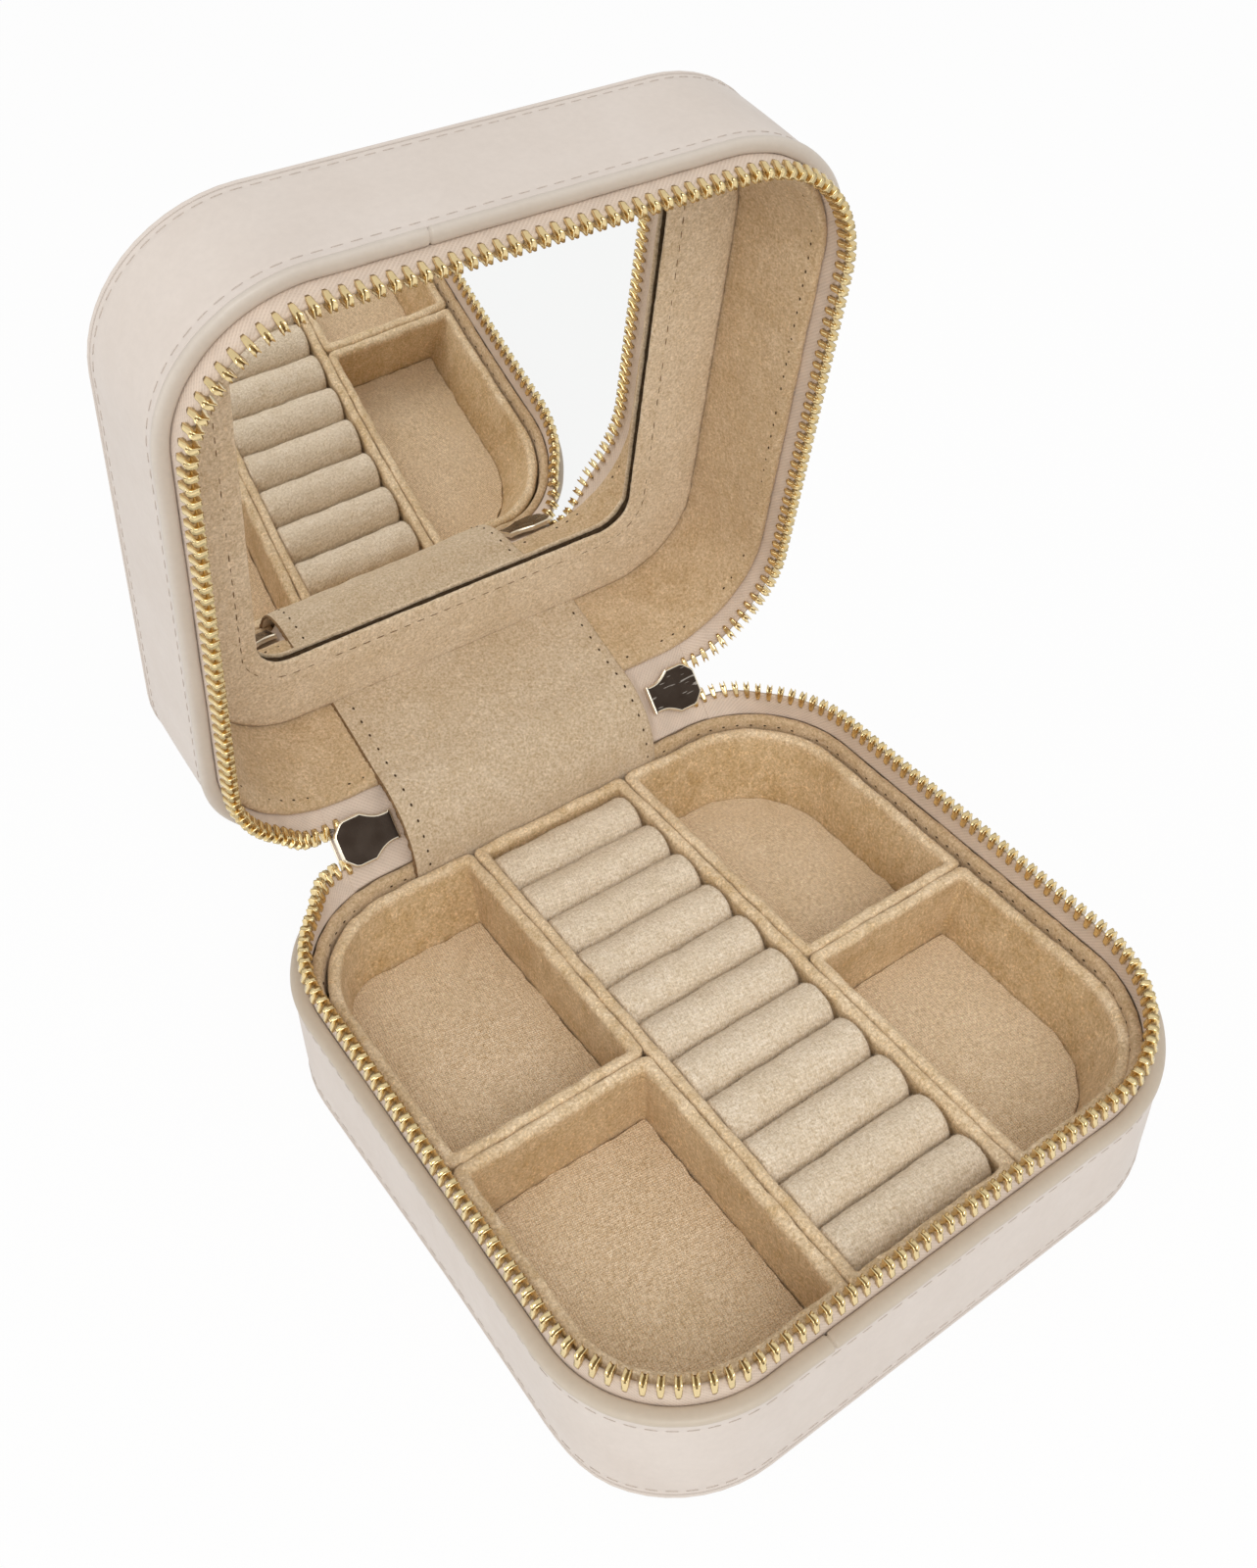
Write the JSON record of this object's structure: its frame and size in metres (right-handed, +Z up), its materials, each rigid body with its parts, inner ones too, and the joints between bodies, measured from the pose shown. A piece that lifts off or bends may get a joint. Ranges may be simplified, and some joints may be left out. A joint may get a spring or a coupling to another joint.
{
  "type": "jewelry box",
  "caption": "Square zip-round leather travel jewelry case with suede lining, lid mirror, corner trays and a row of ring rolls.",
  "frame": {"origin": "middle of the base's flat underside", "axes": "+X along the hinge, +Y towards the hinge at the back, +Z up"},
  "size_m": [0.1304, 0.1591, 0.163],
  "materials": {
    "outer_leather": "smooth satin cream leather",
    "rim_leather": "smooth satin taupe leather",
    "board": "grey fibreboard, hidden",
    "zip_tape": "woven pale pink tape",
    "zip_metal": "polished gold-coloured metal",
    "suede": "tan microfibre suede with nap",
    "ring_foam": "tan suede over foam",
    "tray_pad": "tan suede over a thin pad",
    "mirror": "silvered glass",
    "mirror_tape": "foam tape, hidden"
  },
  "bodies": {
    "base": {"base_bottom_cover": "outer_leather", "base_band": "outer_leather", "spine_leather": "outer_leather", "base_rim_roll": "rim_leather", "base_wall_board": "board", "base_floor_board": "board", "base_zip_tape": "zip_tape", "zip_gusset_left": "zip_tape", "zip_gusset_right": "zip_tape", "base_zip_teeth": "zip_metal", "base_wall_lining": "suede", "spine_lining": "suede", "tray_back_left": "suede", "tray_front_left": "suede", "tray_back_right": "suede", "tray_front_right": "suede", "ring_tray": "suede", "ring_roll_1": "ring_foam", "ring_roll_2": "ring_foam", "ring_roll_3": "ring_foam", "ring_roll_4": "ring_foam", "ring_roll_5": "ring_foam", "ring_roll_6": "ring_foam", "ring_roll_7": "ring_foam", "ring_roll_8": "ring_foam", "ring_roll_9": "ring_foam", "ring_roll_10": "ring_foam", "ring_roll_11": "ring_foam", "ring_foam_bed": "ring_foam", "tray_pad_back_left": "tray_pad", "tray_pad_front_left": "tray_pad", "tray_pad_back_right": "tray_pad", "tray_pad_front_right": "tray_pad"},
    "lid": {"lid_top_cover": "outer_leather", "lid_band": "outer_leather", "lid_rim_roll": "rim_leather", "lid_wall_board": "board", "lid_top_board": "board", "mirror_spacer": "board", "lid_zip_tape": "zip_tape", "lid_zip_teeth": "zip_metal", "lid_wall_lining": "suede", "mirror_frame": "suede", "mirror_glass": "mirror", "mirror_backing": "mirror_tape"},
    "slider_left": {"zip_slider_left": "zip_metal", "slider_bridge_left": "zip_metal"},
    "slider_right": {"zip_slider_right": "zip_metal", "slider_bridge_right": "zip_metal"},
    "pull_left": {"zip_pull_left": "zip_metal"},
    "pull_right": {"zip_pull_right": "zip_metal"}
  },
  "joints": [
    {"name": "lid_hinge", "type": "hinge", "parent": "base", "child": "lid", "pos_m": [0, 0.0662, 0.0294], "axis": [-1, 0, 0], "range_deg": [-79, 16], "deforming": ["spine_leather", "spine_lining", "zip_gusset_left", "zip_gusset_right"]},
    {"name": "slider_left_tilt", "type": "hinge", "parent": "base", "child": "slider_left", "pos_m": [0, 0.0662, 0.0294], "axis": [-1, 0, 0], "range_deg": [-39.5, 8]},
    {"name": "slider_right_tilt", "type": "hinge", "parent": "base", "child": "slider_right", "pos_m": [0, 0.0662, 0.0294], "axis": [-1, 0, 0], "range_deg": [-39.5, 8]},
    {"name": "pull_left_swing", "type": "hinge", "parent": "slider_left", "child": "pull_left", "pos_m": [-0.037, 0.06998, 0.02628], "axis": [1, 0, 0], "range_deg": [-5, 100]},
    {"name": "pull_right_swing", "type": "hinge", "parent": "slider_right", "child": "pull_right", "pos_m": [0.037, 0.06998, 0.02628], "axis": [1, 0, 0], "range_deg": [-5, 100]}
  ],
  "couplings": [
    {"joint": "slider_left_tilt", "follows": "lid_hinge", "ratio": 0.5},
    {"joint": "slider_right_tilt", "follows": "lid_hinge", "ratio": 0.5}
  ]
}
